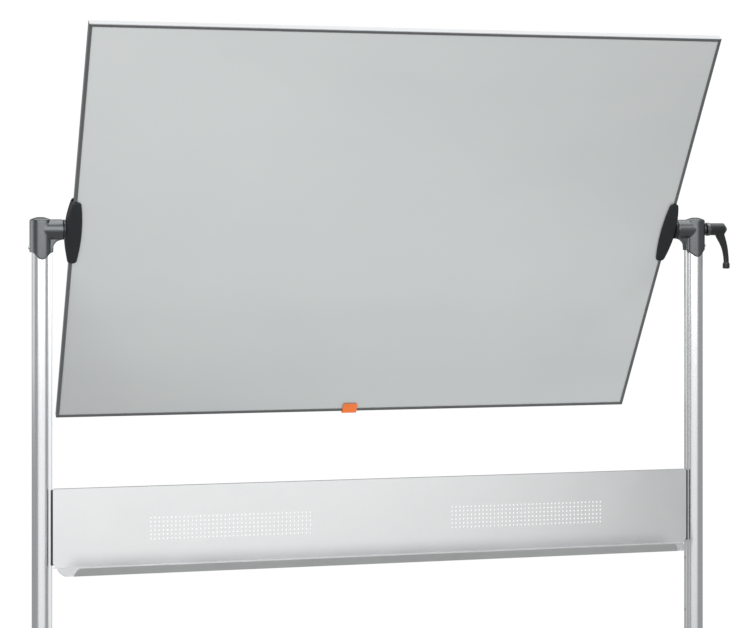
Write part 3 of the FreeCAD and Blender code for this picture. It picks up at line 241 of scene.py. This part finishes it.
def turned_metal(name, colour, low, high):
    """Machined or plated hardware: faint tool rings and spots."""
    paint = Paint(name, metallic=1.0)
    spots = paint.noise(3 * MM, detail=4, rough=0.6)
    rings = paint.noise(0.4 * MM, detail=1)
    both = paint.sum(rings, spots, 0.6)
    paint.colour(shade(colour, 0.86), shade(colour, 1.06), paint.spread(both, 0, 1))
    paint.rough(both, low, high)
    paint.bump(rings, 0.006 * MM)
    return paint.material


def powder_coat():
    paint = Paint("cast_grey", specular=0.45)
    peel = paint.noise(0.9 * MM, detail=2)
    cloud = paint.noise(25 * MM, detail=3)
    mottle = paint.spread(paint.sum(peel, cloud, 0.5), 0, 1)
    paint.colour((0.115, 0.120, 0.125), (0.150, 0.155, 0.160), mottle)
    paint.rough(cloud, 0.42, 0.54)
    paint.bump(peel, 0.05 * MM)
    return paint.material


def soft_tread():
    paint = Paint("caster_tyre", specular=0.3)
    dust = paint.noise(7 * MM, detail=4, rough=0.65)
    pores = paint.noise(0.5 * MM, detail=1)
    mottle = paint.spread(paint.sum(dust, pores, 0.4), 0, 1)
    paint.colour((0.150, 0.155, 0.160), (0.225, 0.230, 0.235), mottle)
    paint.rough(dust, 0.62, 0.82)
    paint.bump(pores, 0.03 * MM)
    return paint.material


# the lines in drawn metal are 160 times longer along its length than across
ALONG_X, ALONG_Y, ALONG_Z = (160, 1, 1), (1, 160, 1), (1, 1, 160)
EDGE_GREY = (0.30, 0.305, 0.31)
MATERIALS = {
    "writing_surface": writing_surface(),
    "core_board": core_board(),
    "dark_moulding": moulded("dark_moulding", (0.027, 0.031, 0.034), 0.55, 0.66, specular=0.35),
    "knuckle_lacquer": moulded("knuckle_lacquer", (0.118, 0.125, 0.128), 0.27, 0.32, metallic=0.85,
                               grain=0.5 * MM, depth=0.006 * MM, vary=0.06),
    "lever_nylon": moulded("lever_nylon", (0.022, 0.024, 0.026), 0.27, 0.34, depth=0.008 * MM),
    "orange_plastic": moulded("orange_plastic", (0.97, 0.19, 0.010), 0.34, 0.42,
                              depth=0.008 * MM, vary=0.05),
    "satin_aluminium": drawn_metal("satin_aluminium", (0.80, 0.81, 0.82), 0.24, 0.32, ALONG_Z),
    "foot_aluminium": drawn_metal("foot_aluminium", (0.78, 0.79, 0.80), 0.26, 0.34, ALONG_Y),
    "edge_frame": drawn_metal("edge_frame_x", EDGE_GREY, 0.26, 0.36, ALONG_X),
    "edge_frame_upright": drawn_metal("edge_frame_v", EDGE_GREY, 0.26, 0.36, ALONG_Z, turn=-TILT),
    "tray_silver": tray_silver(),
    "cast_grey": powder_coat(),
    "nylon": moulded("nylon", (0.78, 0.76, 0.70), 0.45, 0.55, vary=0.04),
    "zinc_steel": turned_metal("zinc_steel", (0.66, 0.67, 0.69), 0.25, 0.38),
    "dark_steel": turned_metal("dark_steel", (0.17, 0.17, 0.175), 0.32, 0.44),
    "spring_steel": turned_metal("spring_steel", (0.42, 0.42, 0.43), 0.25, 0.36),
    "brass_insert": turned_metal("brass_insert", (0.78, 0.57, 0.25), 0.22, 0.34),
    "caster_plastic": moulded("caster_plastic", (0.036, 0.037, 0.039), 0.42, 0.52),
    "caster_tyre": soft_tread(),
    "brake_plastic": moulded("brake_plastic", (0.075, 0.080, 0.085), 0.45, 0.55, depth=0.03 * MM),
}
# nodes whose metal grain runs another way than their slot's material
OTHER_GRAIN = {
    "frame_left": "edge_frame_upright", "frame_right": "edge_frame_upright",
    "foot_left": "foot_aluminium", "foot_right": "foot_aluminium",
}


def coat(thing, name):
    """Gives an object its material, whichever slots it came with."""
    if not thing.material_slots:
        thing.data.materials.append(MATERIALS[name])
    for held in thing.material_slots:
        held.material = MATERIALS[name]


for node_name, slot_name in SLOTS.items():
    coat(NODES[node_name], OTHER_GRAIN.get(node_name, slot_name))


# ---------------------------------------------------------------- finer pieces
def put(name, mesh, body, slot_name, *nodes):
    """Adds a finished piece: its mesh, body and material, and the CAD nodes it stands for."""
    piece = bpy.data.objects.new(name, mesh)
    bpy.context.scene.collection.objects.link(piece)
    coat(piece, slot_name)
    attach(piece, body)
    if nodes:
        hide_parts(*nodes)
    return piece


def mesh_from(name, bm):
    """A smooth-shaded mesh whose edges stay crisp over 35 degrees."""
    bmesh.ops.recalc_face_normals(bm, faces=bm.faces)
    mesh = bpy.data.meshes.new(name)
    bm.to_mesh(mesh)
    bm.free()
    mesh.shade_smooth()
    mesh.set_sharp_from_angle(angle=math.radians(35))
    return mesh


def softened(node, voxel, passes, keep, pose=Matrix()):
    """The node's shape as a casting or moulding has it: every edge rounded by a voxel or two, and the share
    keep of the faces left. The voxels lie square to the pose that the node was made in."""
    work = bpy.data.objects.new("work", NODES[node].data.copy())
    work.data.transform(pose.inverted())
    bpy.context.scene.collection.objects.link(work)
    remesh = work.modifiers.new("remesh", "REMESH")
    remesh.mode, remesh.voxel_size = "VOXEL", voxel
    relax = work.modifiers.new("relax", "SMOOTH")
    relax.factor, relax.iterations = 0.5, passes
    thin = work.modifiers.new("thin", "DECIMATE")
    thin.ratio = keep
    mesh = bpy.data.meshes.new_from_object(work.evaluated_get(bpy.context.evaluated_depsgraph_get()))
    bpy.data.objects.remove(work)
    mesh.transform(pose)
    mesh.materials.clear()
    mesh.shade_smooth()
    return mesh


def soft_piece(node, **how):
    return put(node + "_cast", softened(node, **how), BODY_OF[node], SLOTS[node], node)


def open_bore(mesh, axis, radius, above):
    """Opens an upright bore about the axis to at least this radius, in everything higher than above."""
    for vertex in mesh.vertices:
        out = vertex.co.xy - axis.xy
        if vertex.co.z > above and out.length < radius:
            vertex.co.xy = axis.xy + out.normalized() * radius


def bridge(bm, rings):
    """Joins each closed ring of vertices to the next with quads."""
    for one, other in zip(rings, rings[1:]):
        for i in range(len(one)):
            j = (i + 1) % len(one)
            bm.faces.new((one[i], one[j], other[j], other[i]))


def turned(bm, profile, centre, hand=1, sides=96):
    """Adds a ring turned about an axis along X; the profile is closed, as (distance along, radius)."""
    rings = []
    turns = [2 * math.pi * i / sides for i in range(sides)]
    for along, radius in profile:
        spots = [Vector((along * hand, radius * math.cos(a), -radius * math.sin(a))) for a in turns]
        rings.append([bm.verts.new(centre + spot) for spot in spots])
    bridge(bm, rings + rings[:1])


def block(bm, corners):
    """Adds a closed block with eight corners: four on one side, then four on the other."""
    v = [bm.verts.new(c) for c in corners]
    for quad in ((0, 1, 2, 3), (7, 6, 5, 4), (0, 4, 5, 1), (1, 5, 6, 2), (2, 6, 7, 3), (3, 7, 4, 0)):
        bm.faces.new([v[i] for i in quad])


def make_castings():
    """Castings and mouldings whose edges catch the light."""
    # the hood's bore round the stem, and the height that it starts at
    bore_rad, bore_from = 4.3 * MM, 35.6 * MM
    for side in SIDES:
        soft_piece(f"knuckle_{side}", voxel=0.7 * MM, passes=10, keep=0.5)
        soft_piece(f"post_socket_{side}", voxel=1.0 * MM, passes=6, keep=0.4)
        for face in ("front", "rear"):
            soft_piece(f"pivot_plate_{face}_{side}", voxel=0.6 * MM, passes=10, keep=0.4, pose=BOARD)
    soft_piece("lever_handle", voxel=0.5 * MM, passes=8, keep=0.5)
    soft_piece("foot_end_caps", voxel=0.9 * MM, passes=5, keep=0.3)
    for corner in CORNERS:
        hood = soft_piece(f"caster_hood_{corner}", voxel=0.55 * MM, passes=5, keep=0.4)
        open_bore(hood.data, JOINT_AT[f"caster_{corner}"], bore_rad, bore_from)


def make_hub_grips():
    """A fine-toothed band round each hub ring, on the board's side of the bush."""
    teeth = 36
    root, crown, inner = 18.2 * MM, 18.9 * MM, 17.6 * MM
    wide, gap = 2.9 * MM, 1.1 * MM
    # one tooth and the valley after it, as shares of the pitch
    tooth = ((0, crown), (0.5, crown), (0.58, root), (0.92, root))
    for side, sign in SIDES.items():
        low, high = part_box(f"pivot_bush_{side}")
        bush_end = low.x if sign > 0 else high.x
        start = bush_end - sign * (wide + gap)
        bm = bmesh.new()
        stop = start + sign * wide
        rings = []
        for x, bore in ((start, False), (stop, False), (stop, True), (start, True)):
            verts = []
            for i in range(teeth):
                for share, radius in tooth:
                    a = 2 * math.pi * (i + share) / teeth
                    r = inner if bore else radius
                    verts.append(bm.verts.new((x, PIVOT.y + r * math.cos(a), PIVOT.z + r * math.sin(a))))
            rings.append(verts)
        bridge(bm, rings + rings[:1])
        put(f"hub_grip_{side}", mesh_from(f"hub_grip_{side}", bm), "board", "knuckle_lacquer")


WHEEL_IN = 7.8 * MM
WHEEL_WIDE = 15.0 * MM
WHEEL_RAD = 25.0 * MM
RIM_RAD = 21.0 * MM
HUB_RAD = 7.0 * MM
AXLE_RAD = 3.05 * MM


def tyre_profile():
    """A soft tread with rounded shoulders and two grooves. Seat is its gap round the rim."""
    groove, deep, shoulder, seat = 1.1 * MM, 0.9 * MM, 1.6 * MM, 0.05 * MM
    profile = [(0, RIM_RAD + seat), (0, WHEEL_RAD - shoulder)]
    for step in range(1, 4):
        a = math.pi / 2 * step / 4
        across, down = shoulder * (1 - math.cos(a)), shoulder * (1 - math.sin(a))
        profile.append((across, WHEEL_RAD - down))
    for share in (1 / 3, 2 / 3):
        mid = WHEEL_WIDE * share
        profile += [
            (mid - groove / 2, WHEEL_RAD), (mid - groove / 3, WHEEL_RAD - deep),
            (mid + groove / 3, WHEEL_RAD - deep), (mid + groove / 2, WHEEL_RAD),
        ]
    for step in range(3, 0, -1):
        a = math.pi / 2 * step / 4
        across, down = shoulder * (1 - math.cos(a)), shoulder * (1 - math.sin(a))
        profile.append((WHEEL_WIDE - across, WHEEL_RAD - down))
    profile += [(WHEEL_WIDE, WHEEL_RAD - shoulder), (WHEEL_WIDE, RIM_RAD + seat)]
    return [(WHEEL_IN + along, radius) for along, radius in profile]


def make_wheels(corner):
    """Two wheels: grooved tyres, and rims with a dished web, a stepped hub and spokes."""
    centre = middle(f"caster_axle_{corner}")
    tyres, rims = bmesh.new(), bmesh.new()
    band, lip, inset = 2.0 * MM, 0.5 * MM, 0.6 * MM
    out = WHEEL_IN + WHEEL_WIDE - inset
    web_in, web_out = WHEEL_IN + 5.5 * MM, WHEEL_IN + 8.0 * MM
    inner = RIM_RAD - band
    spokes, thick, spoke_out = 8, 1.7 * MM, out - 2.4 * MM
    for hand in (-1, 1):
        turned(tyres, tyre_profile(), centre, hand)
        turned(rims, [
            (WHEEL_IN + inset, RIM_RAD), (out - lip, RIM_RAD), (out, RIM_RAD - lip), (out, inner + lip),
            (out - lip, inner), (web_out, inner - lip), (web_out, HUB_RAD + 1.4 * MM),
            (out - lip * 3, HUB_RAD), (out - lip, HUB_RAD - lip), (out - lip, AXLE_RAD + 1.2 * MM),
            (out - lip * 3, AXLE_RAD), (WHEEL_IN, AXLE_RAD), (WHEEL_IN, HUB_RAD), (web_in, HUB_RAD),
            (web_in, inner), (WHEEL_IN + inset, inner),
        ], centre, hand)
        for i in range(spokes):
            spin = Matrix.Rotation(2 * math.pi * i / spokes, 3, "X")
            low, high, half = HUB_RAD - lip, inner + lip, thick / 2
            ends = []
            for radius, reach in ((low, spoke_out), (high, spoke_out - lip)):
                ends.append([
                    (web_out - lip, -half * 1.3, radius), (reach, -half, radius),
                    (reach, half, radius), (web_out - lip, half * 1.3, radius),
                ])
            block(rims, [centre + spin @ Vector((x * hand, y, z)) for end in ends for x, y, z in end])
    body = f"wheels_{corner}"
    put(f"tyre_pair_{corner}", mesh_from("tyres", tyres), body, "caster_tyre", f"caster_tyres_{corner}")
    put(f"rim_pair_{corner}", mesh_from("rims", rims), body, "caster_plastic", f"caster_rims_{corner}")


def make_pedal(corner):
    """The brake pedal with rounded edges and ribs for the toe."""
    end = CORNERS[corner]
    centre = middle(f"caster_axle_{corner}")
    node = f"caster_brake_{corner}"
    low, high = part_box(node)
    bm = bmesh.new()
    bm.from_mesh(softened(node, 0.45 * MM, 4, 0.4))
    # the ends of the tab's upper face, each as a distance and an angle about the axle
    root, tip = (30.0 * MM, math.radians(168)), (42.0 * MM, math.radians(160))
    starts = [Vector((0, r * math.cos(a) * -end, r * math.sin(a))) for r, a in (root, tip)]
    run = starts[1] - starts[0]
    ribs, first, pitch = 5, 0.32, 0.14
    tall, reach = 0.45 * MM, (high.x - low.x) / 2 - 1.6 * MM
    for i in range(ribs):
        spot = centre + starts[0] + run * (first + pitch * i)
        turned(bm, [(-reach, tall * 0.4), (-reach + tall, tall), (reach - tall, tall), (reach, tall * 0.4)],
               spot, sides=12)
    put(f"pedal_{corner}", mesh_from("pedal", bm), BODY_OF[node], "brake_plastic", node)


def make_spring():
    """The coil spring that presses the clamp lever inwards. Its coils keep one length here, though the real
    spring shortens as the lever is lifted.
    """
    low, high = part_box("lever_spring")
    wire, coils, steps, sides = 0.55 * MM, 6, 24, 10
    radius = (high.z - low.z) / 2 - wire
    middle_y, middle_z = PIVOT.y, PIVOT.z
    bm = bmesh.new()
    rings = []
    for i in range(coils * steps + 1):
        a, along = 2 * math.pi * i / steps, i / (coils * steps)
        x = low.x + wire + (high.x - low.x - wire * 2) * along
        ring = []
        for k in range(sides):
            b = 2 * math.pi * k / sides
            out = radius + wire * math.cos(b)
            spot = (x + wire * math.sin(b), middle_y + out * math.cos(a), middle_z + out * math.sin(a))
            ring.append(bm.verts.new(spot))
        rings.append(ring)
    bridge(bm, rings)
    bm.faces.new(rings[0])
    bm.faces.new(rings[-1])
    coil = put("lever_coil", mesh_from("lever_coil", bm), "clamp_screw", "spring_steel", "lever_spring")
    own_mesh(coil)


# ---------------------------------------------------------------- floor, light and camera
def make_floor():
    """A plain round floor. The camera sees it paler than it is to the light that bounces off it."""
    radius, sides, deep = 3.1, 128, 0.02
    mesh = bpy.data.meshes.new("studio_floor")
    bm = bmesh.new()
    turns = [2 * math.pi * i / sides for i in range(sides)]
    rim = [bm.verts.new((radius * math.cos(a), radius * math.sin(a), 0)) for a in turns]
    top = bm.faces.new(rim)
    solid = bmesh.ops.extrude_face_region(bm, geom=[top])
    lowered = [v for v in solid["geom"] if isinstance(v, bmesh.types.BMVert)]
    bmesh.ops.translate(bm, verts=lowered, vec=(0, 0, -deep))
    bmesh.ops.recalc_face_normals(bm, faces=bm.faces)
    bm.to_mesh(mesh)
    bm.free()
    floor = bpy.data.objects.new("studio_floor", mesh)
    bpy.context.scene.collection.objects.link(floor)
    paint = Paint("studio_floor", specular=0.2)
    cloud = paint.noise(0.6, detail=2)
    paint.colour((0.46, 0.46, 0.455), (0.49, 0.49, 0.49), paint.spread(cloud, 0, 1))
    # camera rays get this colour, and all other rays the one above
    seen_colour = (0.80, 0.80, 0.795, 1)
    seen = paint.add("ShaderNodeMix", data_type="RGBA")
    seen.inputs["B"].default_value = seen_colour
    paint.wire(paint.add("ShaderNodeLightPath").outputs["Is Camera Ray"], seen.inputs["Factor"])
    paint.wire(paint.shader.inputs["Base Color"].links[0].from_socket, seen.inputs["A"])
    paint.wire(seen.outputs["Result"], paint.shader.inputs["Base Color"])
    paint.rough(cloud, 0.75, 0.85)
    floor.data.materials.append(paint.material)


def make_world():
    """White to the camera, and a dimmer even light to everything else."""
    seen_strength, fill_strength = 1.02, 0.38
    world = bpy.data.worlds.new("studio")
    bpy.context.scene.world = world
    world.use_nodes = True
    tree = world.node_tree
    tree.nodes.clear()
    path = tree.nodes.new("ShaderNodeLightPath")
    seen, fill = tree.nodes.new("ShaderNodeBackground"), tree.nodes.new("ShaderNodeBackground")
    seen.inputs["Color"].default_value = (1, 1, 1, 1)
    seen.inputs["Strength"].default_value = seen_strength
    fill.inputs["Color"].default_value = (0.97, 0.985, 1.0, 1)
    fill.inputs["Strength"].default_value = fill_strength
    mix = tree.nodes.new("ShaderNodeMixShader")
    out = tree.nodes.new("ShaderNodeOutputWorld")
    tree.links.new(path.outputs["Is Camera Ray"], mix.inputs[0])
    tree.links.new(fill.outputs[0], mix.inputs[1])
    tree.links.new(seen.outputs[0], mix.inputs[2])
    tree.links.new(mix.outputs[0], out.inputs["Surface"])


def softbox(name, place, aim, wide, tall, radiance, only="", but=(), tint=(1, 1, 1)):
    """A rectangular studio light that the camera doesn't see. Light linking limits it to the pieces whose
    names start with one of only and with none of but; with neither given, it lights everything."""
    data = bpy.data.lights.new(name, "AREA")
    data.shape = "RECTANGLE"
    data.size, data.size_y = wide, tall
    data.energy = radiance * math.pi * wide * tall
    data.color = tint
    light = bpy.data.objects.new(name, data)
    bpy.context.scene.collection.objects.link(light)
    light.location = place
    light.rotation_euler = (Vector(aim) - Vector(place)).to_track_quat("-Z", "Y").to_euler()
    light.visible_camera = False
    if only or but:
        lit = bpy.data.collections.new(name + "_lit")
        for piece in bpy.context.scene.collection.all_objects:
            if piece.name.startswith(only) and not piece.name.startswith(but):
                lit.objects.link(piece)
        light.light_linking.receiver_collection = lit


def make_lights():
    """Softboxes in front, above and at the left. Each but the overhead one lights only some pieces."""
    left, right = ("post_left", "knuckle_left"), ("post_right", "knuckle_right")
    sheet = ("front_sheet", "edge_tab")
    broad = sheet + ("tray_panel", "tray_bracket")
    left_dark = ("knuckle_left", "pivot_plate_front_left", "pivot_plate_rear_left")
    softbox("front_softbox", (-0.7, -1.45, 1.85), (-0.6, 0, 1.75),
            wide=3.3, tall=1.1, radiance=1.5, but=left + right)
    softbox("front_left_softbox", (0.17, -1.45, 1.85), (0.17, 0, 1.75),
            wide=3.74, tall=1.1, radiance=2.5, only=left)
    softbox("front_right_softbox", (-0.24, -1.34, 1.85), (0.63, 0, 1.75),
            wide=3.5, tall=1.1, radiance=2.2, only=right)
    softbox("low_softbox", (-0.5, -1.4, 0.7), (-0.5, 0, 0.7),
            wide=3.0, tall=1.2, radiance=0.83, only=broad)
    softbox("low_left_softbox", (0.17, -1.4, 0.7), (0.17, 0, 0.7),
            wide=3.6, tall=1.2, radiance=0.64, only="post_left")
    softbox("low_right_softbox", (-0.24, -1.34, 0.7), (0.63, 0, 0.7),
            wide=3.5, tall=1.2, radiance=0.54, only="post_right")
    softbox("board_softbox", (0.35, -0.2, 0.3), (0.2, 0.15, 1.2),
            wide=2.2, tall=0.8, radiance=1.08, only=sheet, tint=(0.93, 0.99, 1.0))
    softbox("arm_softbox", (1.24, -1.44, 2.32), (0.63, 0, 1.42),
            wide=1.2, tall=0.7, radiance=1.7, only="knuckle_right")
    softbox("overhead_softbox", (0.0, 0.2, 3.5), (0, 0.2, 0),
            wide=3.6, tall=3.0, radiance=2.4)
    softbox("side_softbox", (-2.1, 0.54, 1.3), (-0.7, 0, 1.25),
            wide=1.5, tall=1.8, radiance=1.7, only=left_dark)
    softbox("side_post_softbox", (-2.1, 0.54, 1.45), (-0.7, 0, 1.45),
            wide=1.5, tall=0.9, radiance=0.5, only=("post_left", "frame_left"))


def make_camera():
    """Almost level with the pivot and to the left; the shifts frame the object."""
    from_pivot, heading = Vector((-1.0792, -4.0399, 0.00985)), math.radians(-15.143)
    data = bpy.data.cameras.new("photo_view")
    data.sensor_width, data.lens = 36.0, 103.24
    data.shift_x, data.shift_y = -0.01735, -0.1195
    data.clip_end = 60
    camera = bpy.data.objects.new("photo_view", data)
    bpy.context.scene.collection.objects.link(camera)
    camera.location = PIVOT + from_pivot
    camera.rotation_euler = (math.radians(90), 0, heading)
    bpy.context.scene.camera = camera


make_castings()
make_hub_grips()
make_spring()
for corner_name in CORNERS:
    make_wheels(corner_name)
    make_pedal(corner_name)
make_floor()
make_world()
make_lights()
make_camera()
bpy.context.scene.view_settings.view_transform = "Standard"
